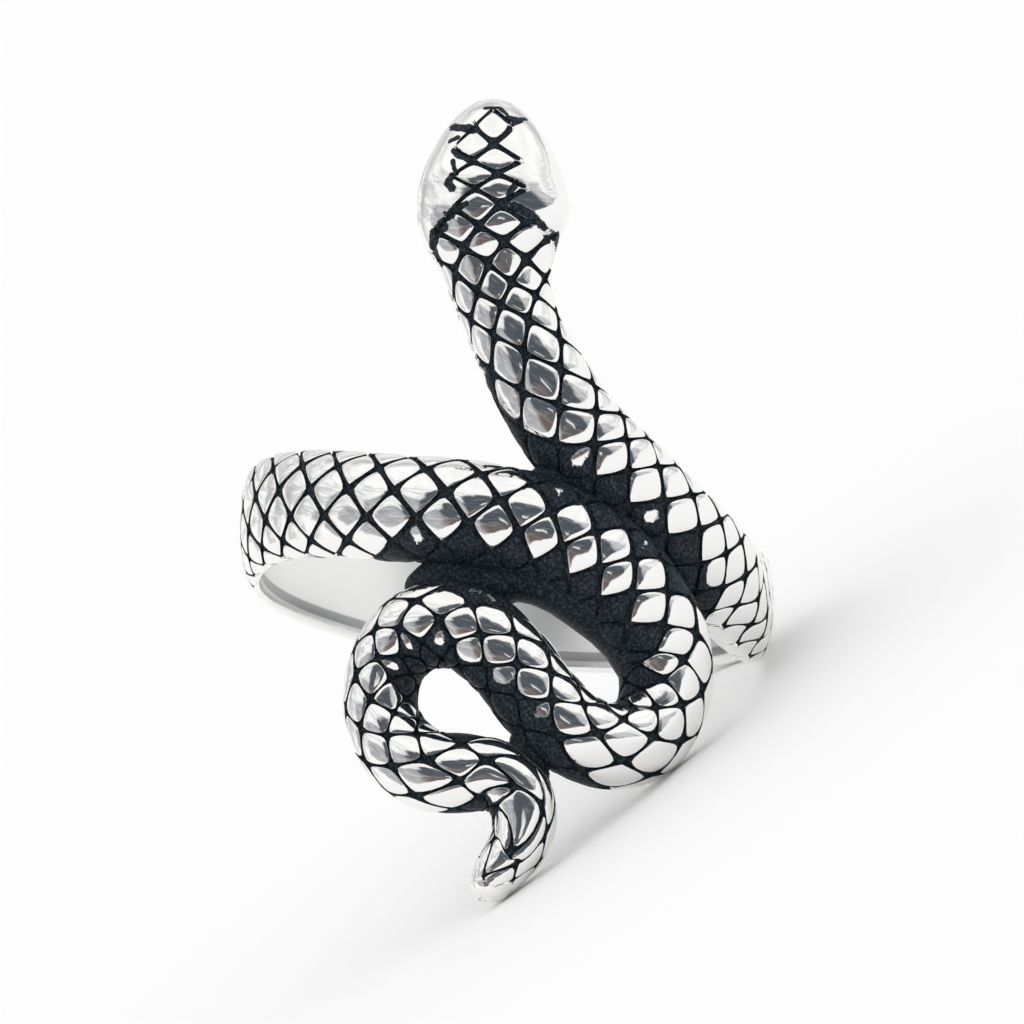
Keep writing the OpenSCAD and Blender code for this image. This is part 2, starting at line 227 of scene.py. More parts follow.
# Points of the net that lie unevenly on the tail: row, column, and the move in both.
# A point without a move holds its place between neighbours that have one.
NUDGES = np.array([
    (107, 1, 0, 0), (108, 0, 0, 0), (108, 1, 0, 0.4), (108, 2, 0, 0.2),
    (109, 0, 0.1, 0.2), (109, 1, 0.1, 0.5), (109, 2, 0.3, 0.2), (109, 3, -0.4, 0.3),
    (110, 0, 0, 0), (110, 1, 0, 0.2), (110, 2, -0.3, 0.4),
    (111, 0, 0, 0), (111, 2, 0.7, -0.3),
    (112, 0, 0, 0), (112, 1, 0.7, -0.7), (112, 3, 0, 0.7),
    (113, 0, 0.3, 0), (113, 2, 2.0, -0.7),
    (114, 1, 0.7, -0.5), (114, 3, 0.3, 0.4),
    (115, 2, 1.2, 0.2),
    (116, 1, 0.3, 0), (116, 3, 0, 0),
])
# How far a move reaches over the net, and the weight of no move
NUDGE_REACH, NO_NUDGE = 0.58, 0.15

# Where the body turns back to the plain band, rows on its lower side and the rows
# that they move to, and the columns between which that side fades in and out
TURN_ROWS, TURN_PLACES = (18, 25, 32), (18, 22.6, 32)
TURN_FADE_IN, TURN_FADE_OUT = (0, 1.8), (3.5, 5)

# The flat plate on one cheek: rise, its scale row and how many rows it spreads over,
# its angle from the crown and how many degrees it spreads over
CHEEK_RISE = 0.26
CHEEK_ROW, CHEEK_ROWS = -1.5, 1.7
CHEEK_ANGLE, CHEEK_DEGREES = -60, 22

# Depths at the finger hole's wall, below 0 outside the hole's cylinder: from where the
# skin starts to be wall, from where it is all wall, and from where it is never black
WALL_START, WALL_ALL, NEVER_BLACK = -0.15, -0.02, -0.04
# How far from the wall the mark pad comes back, so that no groove reaches the wall
PAD_FADE = 0.1

# Links of metal in the hollows between coils: turn, z, rise and radius of each ball.
LINKS = {
    "neck_to_band": [
        (9, 0.1, 0.8, 1.0), (17, -1.1, 0.8, 1.0), (25, -2.1, 0.8, 1.1), (34, -3.2, 0.7, 1.0)],
    "band_to_diagonal": [
        (-19, -3.62, 0.3, 0.8), (-15, -3.40, 0.3, 1.05), (-11, -3.30, 0.2, 1.15),
        (-5, -3.60, 0.2, 1.15), (1, -3.25, 0.5, 1.0), (7.3, -3.46, 0.8, 1.1),
        (12, -3.82, 0.8, 1.1), (17, -4.39, 0.8, 1.1), (22.3, -5.00, 0.8, 1.1),
        (26.5, -5.64, 0.8, 1.1), (29.7, -6.41, 0.8, 1.1)],
    "diagonal_to_tail": [(4, -10.0, 1.0, 0.7), (5, -11.3, 1.0, 0.7)],
}
# Balls from one given ball to the next, size of the remeshing, the depth past which a
# link is black, and its mark there
LINK_STEPS = 4
LINK_VOXEL = 0.12
LINK_BLACK, LINK_ZONE = -0.2, 2.0

# Ragged black strokes round the plates of the head: half width in mm, then scale
# row and angle from the crown in degrees along the stroke.
STROKES = [
    (0.10, [(-8.0, 9), (-8.04, -13), (-7.6, -22)]),
    (0.19, [(-7.35, -24), (-7.3, -34)]),
    (0.10, [(-7.3, -34), (-7.5, -52)]),
    (0.12, [(-7.05, -27), (-7.3, -40)]),
    (0.19, [(-7.1, 50), (-6.9, 32), (-6.8, 18)]),
    (0.09, [(-7.2, 58), (-7.1, 45)]),
    (0.12, [(-6.35, 43), (-6.5, 35)]),
    (0.17, [(-5.75, 32), (-5.4, 26), (-5.0, 15)]),
    (0.10, [(-5.1, 32), (-4.5, 29), (-4.1, 26)]),
    (0.17, [(-4.0, 30), (-3.6, 33), (-3.1, 29)]),
    (0.14, [(-2.1, 18), (-1.9, 28), (-1.6, 31), (-1.35, 43)]),
    (0.23, [(-1.2, 40), (-0.85, 53), (-0.3, 62), (0.4, 70)]),
    (0.07, [(-1.8, 37), (-1.65, 33)]),
    (0.13, [(-3.4, -21), (-2.75, -16), (-2.1, -14)]),
    (0.20, [(-1.9, -19), (-1.5, -29), (-0.9, -42), (-0.2, -62), (0.4, -85)]),
]

# Noise in the metal, as scale and detail: grain of the black, its ragged edge, clouds
GRAIN = 9000.0, 5.0
RAGGED = 1900.0, 4.0, 0.7
CLOUDS = 500.0, 2.0
# Painted shade on the finger hole's wall, darkest in a band that starts and ends at these shares of
# half the body's width down; then the painted shade's colour
SHADE_BAND_START, SHADE_BAND_END = (0.62, 0.66), (0.80, 0.83)
WALL_SHADE_COLOUR = 0.36, 0.37, 0.38
BLACK_GRAIN = 0.038, 0.058, 0.068

# Faces that meet at less than this many degrees are shaded as one
SMOOTH_DEGREES = 25

# The camera: degrees that it looks down in the ring's own frame, lens, width of the
# picture, and how far its middle lies right and up of the origin
VIEW_DOWN = 14
LENS = 1500.0
PICTURE_WIDTH = 39.54 * MM
PICTURE_RIGHT, PICTURE_UP = 0.154, 1.66
FLOOR_SIZE = 4

# Shapes in the room that the scales mirror, in degrees to the right of the camera and
# above it: ovals by middle and half size to the right, then by the same upwards
DARK_ABOVE, DARK_BELOW = (3, 41, 18, 28), (24, 62, -15, 27)
GREY_LEFT, GREY_RIGHT = (-50, 40, -8, 25), (52, 24, 27, 13)
# The bright bar over the dark ovals: middle, slope, where half its length and half its
# width start and end to fade
BAR_RIGHT, BAR_UP, BAR_SLOPE = 3.0, 14.0, 0.25
BAR_LENGTH, BAR_WIDTH = (8.0, 9.5), (2.0, 3.0)
# Where the ground meets the wall and the wall the ceiling, and where the grey round
# the far side starts and ends, in degrees away from the camera
HORIZON, WALL_TOP = (-3.0, 3.0), (35.0, 50.0)
RING_START, RING_END = (104.0, 116.0), (124.0, 140.0)

# Colours of the room that the scales mirror, most of them a pair with streaks between
SLATE = (0.075, 0.090, 0.108), (0.20, 0.22, 0.23)
BROWN = (0.16, 0.12, 0.108), (0.32, 0.27, 0.26)
VEIL = (0.30, 0.31, 0.34), (0.56, 0.56, 0.57)
WALL = (0.64, 0.65, 0.66), (1.02, 1.02, 1.01)
CEILING = 1.08, 1.08, 1.07
GROUND = 1.03, 1.02, 1.01
GREY_RING = 0.45, 0.45, 0.46
SOFT_LIGHT = 1.06, 1.06, 1.06


class SnakeRingSizes(bpy.types.PropertyGroup):
    bore: bpy.props.FloatProperty(
        name="Inside diameter", description="Diameter of the finger hole",
        default=19 * MM, unit="LENGTH")
    groove: bpy.props.FloatProperty(
        name="Groove depth", description="Depth of the grooves between the scales",
        default=0.24 * MM, unit="LENGTH")
    dome: bpy.props.FloatProperty(
        name="Dome", description="How far a scale's rim lies below its middle",
        default=0.05 * MM, unit="LENGTH")
    roll: bpy.props.FloatProperty(
        name="Roll", description="Turn about the front to back line as the ring lies on the floor",
        default=np.radians(36.43), subtype="ANGLE")
    lean: bpy.props.FloatProperty(
        name="Lean", description="Lean back as the ring lies on the floor",
        default=np.radians(19.02), subtype="ANGLE")


class SnakeRingFinish(bpy.types.PropertyGroup):
    silver: bpy.props.FloatVectorProperty(
        name="Silver", description="Colour of the polished metal", default=(0.94, 0.935, 0.92),
        subtype="COLOR", size=3)
    black: bpy.props.FloatVectorProperty(
        name="Black", description="Colour of the blackened hollows", default=(0.006, 0.010, 0.016),
        subtype="COLOR", size=3)
    gloss: bpy.props.FloatProperty(
        name="Roughness", description="Roughness of the polished metal", default=0.08, min=0, max=1)


def settle(context):
    """Turn from the ring's own frame, finger along Z, to the way it lies on the floor."""
    s = context.scene.snake_ring_sizes
    return Matrix.Rotation(-s.lean, 3, "X") @ Matrix.Rotation(s.roll, 3, "Y")


def polar(turn, r, z):
    """Points by degrees round the finger, distance from its axis and height along it."""
    angle = np.radians(turn)
    return np.stack([r * np.sin(angle), -r * np.cos(angle), z], -1)


def route(rows, bore_r, parts=24):
    """Dense rows on a smooth curve through the given ones."""
    points = polar(rows[:, TURN], bore_r + rows[:, RISE], rows[:, Z])
    gap = np.linalg.norm(np.diff(points, axis=0), axis=1)[:, None]
    slope = np.diff(rows, axis=0) / gap
    pace = np.empty_like(rows)
    pace[0], pace[-1] = slope[0], slope[-1]
    pace[1:-1] = (slope[1:] * gap[:-1] + slope[:-1] * gap[1:]) / (gap[:-1] + gap[1:])
    t = (np.arange(parts) / parts)[:, None]
    dense = []
    for i in range(len(rows) - 1):
        dense.append((2 * t**3 - 3 * t**2 + 1) * rows[i] + (t**3 - 2 * t**2 + t) * gap[i] * pace[i]
                     + (3 * t**2 - 2 * t**3) * rows[i + 1] + (t**3 - t**2) * gap[i] * pace[i + 1])
    return np.vstack(dense + [rows[-1:]])


def smooth(x, low, high):
    """0 below low, 1 above high and smooth between them."""
    t = np.clip((x - low) / (high - low), 0, 1)
    return t * t * (3 - 2 * t)


class Skin:
    """Points of the snake's skin by scale row and column, in mm in the ring's own frame."""

    def __init__(self, bore_r):
        self.bore_r = bore_r
        self.curve = route(BODY, bore_r)

    def at(self, row, value):
        """A value of the body's table at any scale row."""
        return np.interp(row, self.curve[:, COUNT], self.curve[:, value])

    def centre(self, row):
        """Middle of the body's section."""
        return polar(self.at(row, TURN), self.bore_r + self.at(row, RISE), self.at(row, Z))

    def angle(self, row, column):
        """Angle of a column from the crown, in radians."""
        even = np.radians(column * 360 / COLUMNS)
        return even - self.at(row, CROWD) * np.sin(even) + np.radians(self.at(row, TWIST))

    def crown_degrees(self, row, column):
        """The same in degrees, between -180 and 180."""
        return (np.degrees(self.angle(row, column)) + 180) % 360 - 180

    def point(self, row, column, sunk):
        """Point of a scale row and column, sunk below the skin."""
        return self.on_section(row, self.angle(row, column), sunk)

    def on_section(self, row, a, sunk, near=0.3):
        """Point at an angle from the crown; near is how many rows tell the body's direction."""
        along = (self.centre(np.minimum(row + near, LAST_ROW))
                 - self.centre(np.maximum(row - near, FIRST_ROW)))
        along /= np.linalg.norm(along, axis=-1)[..., None]
        turn = self.at(row, TURN)
        away = polar(turn, 1, 0 * turn)
        out = away - (away * along).sum(-1)[..., None] * along
        out /= np.linalg.norm(out, axis=-1)[..., None]
        side = np.cross(along, out)
        n = self.at(row, FULL)
        k = (np.abs(np.cos(a)) ** n + np.abs(np.sin(a)) ** n) ** (-1 / n)
        across = (self.at(row, HALF) * k - sunk) * np.sin(a)
        up = (self.at(row, DEEP) * k - sunk) * np.cos(a)
        return self.centre(row) + side * across[..., None] + out * up[..., None]

    def clear_of_finger(self, points, round_edge=0.22):
        """Points pushed out to the finger hole's wall, over a round edge, and their old depth."""
        r = np.hypot(points[..., 0], points[..., 1])
        over = r - self.bore_r
        bend = np.maximum(round_edge - np.abs(over), 0) / round_edge
        kept = self.bore_r + np.maximum(over, 0) + bend**2 * round_edge / 4
        points = points.copy()
        points[..., :2] *= (kept / r)[..., None]
        return points, -over


def scale_value(row, value):
    """A value of the scales' table at any scale row."""
    return np.interp(row, SCALES[:, ROW], SCALES[:, value])


def black_zone(row, column):
    """How many columns a place is inside the black, below 0 outside it."""
    past = np.maximum(column - scale_value(row, BLACK_HIGH), scale_value(row, BLACK_LOW) - column)
    return np.clip(past, OUTSIDE_BLACK, DEEPEST_BLACK)


def on_wall(depth):
    """1 on the finger hole's wall and 0 away from it."""
    return smooth(depth, WALL_START, WALL_ALL)


def scale_rims(row, heading, reach, raised, jitter):
    """How far the rim of each scale is from its middle, in each direction."""
    along = scale_value(row, ALONG) * (1 + VARIED_ALONG * jitter[:, 0])
    across = scale_value(row, ACROSS) * (1 + VARIED_ACROSS * jitter[:, 1])
    power = scale_value(row, ROUND) * (1 + VARIED_ROUND * jitter[:, 2])
    # a scale is rounder and shorter on the side of the lower column numbers
    lower = heading[:, 1] < 0
    power = power[:, None] * np.where(lower, *SIDE_ROUND)[None]
    across = across[:, None] * np.where(lower, *SIDE_ACROSS)[None]
    h = np.abs(heading)[None]
    rim = ((h[..., 0] / along[:, None]) ** power + (h[..., 1] / across) ** power) ** (-1 / power)
    skew = np.sign(heading[:, 0] * heading[:, 1])[None]
    most = scale_value(row, MOST)[:, None] + scale_value(row, ASKEW)[:, None] * skew
    limit = most * reach[None]
    rounded = (rim**-LIMIT_POWER + limit**-LIMIT_POWER) ** (-1 / LIMIT_POWER)
    return np.where(raised[:, None], rounded, PLAIN_SHARE * reach[None])


def net_lines(cells, column, offsets, raised):
    """Points on the net's lines, which of them each cell has, and which lie in a groove."""
    # neighbours share a point where its place in whole parts of an edge is the same
    keys = {}
    index = np.empty((len(cells), len(offsets)), int)
    places, neighbours = [], []
    for i, (q, c) in enumerate(cells):
        for k, (dq, dc) in enumerate(offsets):
            key = (round((q + dq) * EDGE_PARTS),
                   round((c + dc) * EDGE_PARTS) % (COLUMNS * EDGE_PARTS))
            if key not in keys:
                keys[key] = len(keys)
                places.append((q + dq, column[i] + dc))
                neighbours.append(0)
            index[i, k] = keys[key]
            neighbours[keys[key]] += raised[i]
    places = np.array(places)
    # the head's few scales have a groove all round, others only between two of them
    corner = np.isin(np.arange(len(places)), index[:, ::EDGE_PARTS])
    low = np.array(neighbours) >= np.where((places[:, 0] < -1) & ~corner, 1, 2)
    return places, index, low


def uneven(q, c):
    """Rows and columns moved as the scales lie on the tail and near the plain band."""
    far = (q[:, None] - NUDGES[:, 0]) ** 2 + (c[:, None] - NUDGES[:, 1]) ** 2
    near = np.exp(-far / (2 * NUDGE_REACH**2))
    near /= near.sum(1)[:, None] + NO_NUDGE
    q, c = q + near @ NUDGES[:, 2], c + near @ NUDGES[:, 3]
    crowded = np.interp(q, TURN_ROWS, TURN_PLACES)
    lower_side = smooth(c, *TURN_FADE_IN) * (1 - smooth(c, *TURN_FADE_OUT))
    turning = (q > TURN_ROWS[0]) & (q < TURN_ROWS[-1])
    return np.where(turning, q + (crowded - q) * lower_side, q), c


def net_faces(edges, index):
    """Faces from the middle of each scale out to its edge, given how many edge points there are."""
    count, around = index.shape
    centre = edges + np.arange(count)
    # the rings after the middle, of which the last lies in the groove, and the edge itself
    rings = [edges + count + around * (count * k + np.arange(count)[:, None]) + np.arange(around)[None]
             for k in range(len(PAD_RINGS))]
    rings.append(index)
    faces = []
    for k in range(around):
        n = (k + 1) % around
        faces.append(np.stack([centre, rings[0][:, k], rings[0][:, n], centre], 1))
        for inner, outer in zip(rings, rings[1:]):
            faces.append(np.stack([inner[:, k], outer[:, k], outer[:, n], inner[:, n]], 1))
    return [tuple(int(v) for v in (f[:3] if f[0] == f[3] else f)) for f in np.concatenate(faces)]


def end_caps(points, edge_place, index):
    """A point in the middle of each open end, and faces from it over the end's zigzag edge."""
    around = index.shape[1]
    used = {(int(e[k]), int(e[(k + 1) % around])) for e in index for k in range(around)}
    open_edges = [(a, b) for a, b in used if (b, a) not in used]
    tail = edge_place[:, 0] > HALF_WAY
    ends = [points[[a for a, b in open_edges if tail[a] == end]].mean(0) for end in (False, True)]
    caps = [(b, a, len(points) + int(tail[a])) for a, b in sorted(open_edges)]
    return ends, caps


def scale_net(skin, groove, dome):
    """Vertices, faces and attributes of the whole skin."""
    corners = np.array([(1, 0), (0, 1), (-1, 0), (0, -1)], float)
    offsets = np.array([corners[e] + (corners[(e + 1) % 4] - corners[e]) * t / EDGE_PARTS
                        for e in range(4) for t in range(EDGE_PARTS)])
    reach = np.linalg.norm(offsets, axis=1)
    heading = offsets / reach[:, None]
    cells = np.array([(q, c) for q in range(FIRST_ROW + 1, LAST_ROW) for c in range(COLUMNS)
                      if (q + c) % 2 == 0], float)
    count = len(cells)
    row, column = cells[:, 0], cells[:, 1]
    column = np.where(column > COLUMNS // 2, column - COLUMNS, column)
    middle = np.stack([row, column], 1)
    raised = ((np.abs(skin.crown_degrees(row, column)) < skin.at(row, REACH))
              & (row > FIRST_RAISED) & (row < LAST_RAISED))

    jitter = np.random.default_rng(SEED).uniform(-1, 1, (count, 7))
    rim = scale_rims(row, heading, reach, raised, jitter)
    shift = np.stack([VARIED_PLACE * jitter[:, 3], SHIFT_ACROSS + VARIED_PLACE * jitter[:, 4]], 1)
    shift = shift * raised[:, None]
    tilt = VARIED_TILT * jitter[:, 5:7]
    edge_place, edge_index, low_edge = net_lines(cells, column, offsets, raised)
    edges = len(edge_place)

    places, sinks, pads = [], [], []
    for part, drop in PAD_RINGS:
        ways = heading[None] * (rim * part)[..., None] if part else np.zeros((count, 1, 2))
        places.append((middle + shift)[:, None] + ways)
        lean = (ways * tilt[:, None]).sum(-1)
        sinks.append((dome * drop + lean) * raised[:, None])
        pads.append(np.full(ways.shape[:2], part) * raised[:, None])
    low = low_edge[edge_index]
    diamond = middle[:, None] + offsets[None]
    places.append(places[-1] * GROOVE_PLACE[0] + diamond * GROOVE_PLACE[1])
    sinks.append(np.where(low, groove * GROOVE_SHARE, sinks[-1]))
    pads.append(np.where(low, GROOVE_MARK, pads[-1] * NO_GROOVE_SHARE))

    place = np.concatenate([edge_place] + [p.reshape(-1, 2) for p in places])
    sink = np.concatenate([groove * low_edge] + [s.reshape(-1) for s in sinks])
    pad = np.concatenate([BOTTOM_MARK * low_edge] + [p.reshape(-1) for p in pads])
    # the scale that each point is on, or -1 for a point on the net's lines
    own = np.concatenate([np.full(edges, -1)]
                         + [np.repeat(np.arange(count), p.shape[1]) for p in places])
    zone = black_zone(place[:, 0], place[:, 1])
    mixed = POINT_SHARE * zone + SCALE_SHARE * black_zone(row, column)[own]
    zone = np.where(own < 0, zone, mixed)

    q, c = uneven(place[:, 0], place[:, 1])
    sink = sink * np.clip(skin.at(q, CUT), 0, 1)
    cheek = skin.crown_degrees(q, c)
    sink = sink - CHEEK_RISE * np.exp(
        -((q - CHEEK_ROW) / CHEEK_ROWS) ** 2 - ((cheek - CHEEK_ANGLE) / CHEEK_DEGREES) ** 2)
    points, depth = skin.clear_of_finger(skin.point(q, c, sink))
    pad = pad * smooth(-depth, 0.0, PAD_FADE)
    zone = np.where(depth > NEVER_BLACK, OUTSIDE_BLACK, zone)
    # how far down a point is on the section, 1 at the lowest
    lower = (skin.centre(q)[:, 2] - points[:, 2]) / skin.at(q, HALF)

    ends, caps = end_caps(points, edge_place, edge_index)
    at_ends = 0, OUTSIDE_BLACK, 0, 0
    marks = {name: np.append(values, [end, end])
             for name, values, end in zip(MARKS, (pad, zone, on_wall(depth), lower), at_ends)}
    return np.vstack([points, ends]), net_faces(edges, edge_index) + caps, marks


def new_object(name, points, faces, turn):
    """A mesh object at the origin from points in mm in the ring's own frame."""
    mesh = bpy.data.meshes.new(name)
    spun = points @ np.array(turn).T * MM
    mesh.from_pydata([tuple(p) for p in spun], [], faces)
    mesh.validate()
    mesh.update()
    obj = bpy.data.objects.new(name, mesh)
    bpy.context.collection.objects.link(obj)
    return obj


def outward(obj):
    """Turns all faces to the outside, and leaves the object selected and active."""
    bpy.ops.object.select_all(action="DESELECT")
    obj.select_set(True)
    bpy.context.view_layer.objects.active = obj
    bpy.ops.object.mode_set(mode="EDIT")
    bpy.ops.mesh.select_all(action="SELECT")
    bpy.ops.mesh.normals_make_consistent(inside=False)
    bpy.ops.object.mode_set(mode="OBJECT")


def mark(mesh, name, values):
    """Stores a number for each point of a mesh."""
    layer = mesh.attributes.new(name, "FLOAT", "POINT")
    layer.data.foreach_set("value", np.asarray(values, np.float32))


def feed(tree, socket, value):
    """Links or sets an input, as the value is a socket or not."""
    if isinstance(value, bpy.types.NodeSocket):
        tree.links.new(value, socket)
    else:
        socket.default_value = value


def node(tree, kind, inputs=None, **settings):
    """A new node with its settings and inputs."""
    made = tree.nodes.new(kind)
    for key, value in settings.items():
        setattr(made, key, value)
    for key, value in (inputs or {}).items():
        feed(tree, made.inputs[key], value)
    return made


def calc(tree, operation, a, b=0.0, clamp=False):
    """Result of a sum on sockets or numbers."""
    inputs = {0: a, 1: b}
    return node(tree, "ShaderNodeMath", inputs, operation=operation, use_clamp=clamp).outputs[0]


def add(tree, a, b, clamp=False):
    return calc(tree, "ADD", a, b, clamp)


def minus(tree, a, b, clamp=False):
    return calc(tree, "SUBTRACT", a, b, clamp)


def times(tree, a, b):
    return calc(tree, "MULTIPLY", a, b)


def step(tree, value, low, high):
    """0 below low, 1 above high and smooth between them."""
    inputs = {"Value": value, "From Min": low, "From Max": high}
    return node(tree, "ShaderNodeMapRange", inputs, interpolation_type="SMOOTHSTEP").outputs[0]


def below(tree, value, low, high):
    """1 below low, 0 above high and smooth between them."""
    return minus(tree, 1.0, step(tree, value, low, high))


def noise(tree, vector, scale, detail, roughness=0.5):
    """Noise between 0 and 1."""
    inputs = {"Vector": vector, "Scale": scale, "Detail": detail, "Roughness": roughness}
    return node(tree, "ShaderNodeTexNoise", inputs).outputs["Fac"]


def swing(tree, source, size):
    """Noise made to swing about 0."""
    return times(tree, minus(tree, source, 0.5), size)


def vector(tree, operation, a, b):
    """Outputs of a sum on vectors."""
    return node(tree, "ShaderNodeVectorMath", {0: a, 1: b}, operation=operation).outputs


def blend(tree, share, a, b):
    """Colour between two others, each of them a socket or three numbers."""
    inputs = {"Factor": share}
    for key, value in (("A", a), ("B", b)):
        inputs[key] = value if isinstance(value, bpy.types.NodeSocket) else (*value, 1)
    return node(tree, "ShaderNodeMix", inputs, data_type="RGBA").outputs["Result"]


def stroke_distance(tree, where, skin, turn):
    """How far a point is from the nearest stroke, in half widths of it."""
    near = 9.0
    for half, line in STROKES:
        line = np.array(line)
        spots = skin.on_section(line[:, 0], np.radians(line[:, 1]), 0) @ np.array(turn).T * MM
        for a, b in zip(spots, spots[1:]):
            ab = b - a
            off = vector(tree, "SUBTRACT", where, tuple(a))["Vector"]
            share = vector(tree, "DOT_PRODUCT", off, tuple(ab / (ab @ ab)))["Value"]
            share = add(tree, share, 0.0, clamp=True)
            inputs = {0: tuple(ab), "Scale": share}
            foot = node(tree, "ShaderNodeVectorMath", inputs, operation="SCALE").outputs["Vector"]
            gap = vector(tree, "DISTANCE", off, foot)["Value"]
            near = calc(tree, "MINIMUM", calc(tree, "DIVIDE", gap, half * MM), near)
    return near


def blackened_silver(finish, skin, turn):
    """Polished silver, black in the grooves and ragged at the edge of the hollows, with painted shade
    on the finger hole's wall.
    """
    m = bpy.data.materials.new("blackened_silver")
    m.use_nodes = True
    t = m.node_tree
    shader = t.nodes["Principled BSDF"].inputs
    where = node(t, "ShaderNodeTexCoord").outputs["Object"]
    fine = noise(t, where, *GRAIN)
    ragged = noise(t, where, *RAGGED)
    cloud = noise(t, where, *CLOUDS)
    pad, zone, inside, lower = (
        node(t, "ShaderNodeAttribute", attribute_name=name).outputs["Fac"] for name in MARKS)

    # the deeper in the black, the more of each scale is black and the more ragged its edge
    deep = step(t, add(t, zone, swing(t, cloud, 0.5)), -0.1, 0.6)
    limit = minus(t, 1.02, times(t, deep, 1.4))
    loose = add(t, 0.22, times(t, deep, 1.5))
    edge = add(t, pad, swing(t, ragged, loose))
    hollows = step(t, minus(t, edge, limit), -0.05, 0.05)
    near = add(t, stroke_distance(t, where, skin, turn), swing(t, ragged, 1.6))
    black = calc(t, "MAXIMUM", hollows, below(t, near, 0.9, 1.1))

    # painted shade: the finger hole's wall is painted darker, most of all in a band near its lower
    # edge
    shade_band = times(t, step(t, lower, *SHADE_BAND_START), below(t, lower, *SHADE_BAND_END))
    painted_shade = times(t, times(t, shade_band, inside), 0.8)
    bright = blend(t, add(t, times(t, inside, 0.10), painted_shade, clamp=True), finish.silver, WALL_SHADE_COLOUR)
    dark = blend(t, step(t, fine, 0.42, 0.72), finish.black, BLACK_GRAIN)
    rough = add(t, finish.gloss, times(t, black, 0.4))
    feed(t, shader["Base Color"], blend(t, black, bright, dark))
    feed(t, shader["Metallic"], minus(t, 1.0, black))
    feed(t, shader["Specular IOR Level"], 0.15)
    feed(t, shader["Roughness"], add(t, rough, times(t, inside, 0.24)))
    bump = node(t, "ShaderNodeBump", {"Height": fine, "Strength": black, "Distance": 0.04 * MM})
    feed(t, shader["Normal"], bump.outputs["Normal"])
    return m


class SNAKERING_OT_body(bpy.types.Operator):
    """Sweep the scaled skin from the snout to the tail tip"""

    bl_idname = "snake_ring.body"
    bl_label = "Scaled body"

    def execute(self, context):
        sizes = context.scene.snake_ring_sizes
        skin = Skin(sizes.bore / MM / 2)
        turn = settle(context)
        points, faces, marks = scale_net(skin, sizes.groove / MM, sizes.dome / MM)
        obj = new_object("scaled_body", points, faces, turn)
        for name, values in marks.items():
            mark(obj.data, name, values)
        outward(obj)
        bpy.ops.object.shade_smooth_by_angle(angle=np.radians(SMOOTH_DEGREES))
        obj.data.materials.append(blackened_silver(context.scene.snake_ring_finish, skin, turn))
        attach(obj, "root")
        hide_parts("snake_ring")
        return {"FINISHED"}


class SNAKERING_OT_links(bpy.types.Operator):
    """Fill the hollows where two coils are joined, low between their scales"""

    bl_idname = "snake_ring.links"
    bl_label = "Joined hollows"

    def execute(self, context):
        skin = Skin(context.scene.snake_ring_sizes.bore / MM / 2)
        turn = settle(context)
        obj = self.joined_balls(context, skin, turn)
        remesh = obj.modifiers.new("one_skin", "REMESH")
        remesh.mode = "VOXEL"
        remesh.voxel_size = LINK_VOXEL * MM
        bpy.ops.object.modifier_apply(modifier=remesh.name)

        spin = np.array(turn)
        flat = np.empty(len(obj.data.vertices) * 3)
        obj.data.vertices.foreach_get("co", flat)
        points, depth = skin.clear_of_finger(flat.reshape(-1, 3) / MM @ spin)
        obj.data.vertices.foreach_set("co", (points @ spin.T * MM).ravel())
        obj.data.update()
        black = depth < LINK_BLACK
        values = (np.where(black, BOTTOM_MARK, 0), np.where(black, LINK_ZONE, OUTSIDE_BLACK),
                  on_wall(depth), np.zeros(len(depth)))
        for name, value in zip(MARKS, values):
            mark(obj.data, name, value)
        bpy.ops.object.shade_smooth()
        obj.data.materials.append(bpy.data.materials["blackened_silver"])
        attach(obj, "root")
        return {"FINISHED"}

    def joined_balls(self, context, skin, turn):
        """One object of all the balls, with more of them between the given ones."""
        parts = []
        for balls in LINKS.values():
            angle, z, rise, radius = np.array(balls).T
            rows = np.column_stack([polar(angle, skin.bore_r + rise, z), radius])
            spots = np.linspace(0, len(rows) - 1, LINK_STEPS * (len(rows) - 1) + 1)
            dense = np.stack([np.interp(spots, np.arange(len(rows)), v) for v in rows.T], 1)
            bpy.ops.object.select_all(action="DESELECT")
            for p in dense:
                bpy.ops.mesh.primitive_ico_sphere_add(
                    subdivisions=3, radius=p[3] * MM, location=turn @ Vector(p[:3]) * MM)
                parts.append(context.object)
        bpy.ops.object.select_all(action="DESELECT")
        for p in parts:
            p.select_set(True)
        context.view_layer.objects.active = parts[0]
        bpy.ops.object.join()
        obj = context.object
        obj.name = obj.data.name = "joined_hollows"
        bpy.ops.object.transform_apply(location=True, rotation=True, scale=True)
        return obj


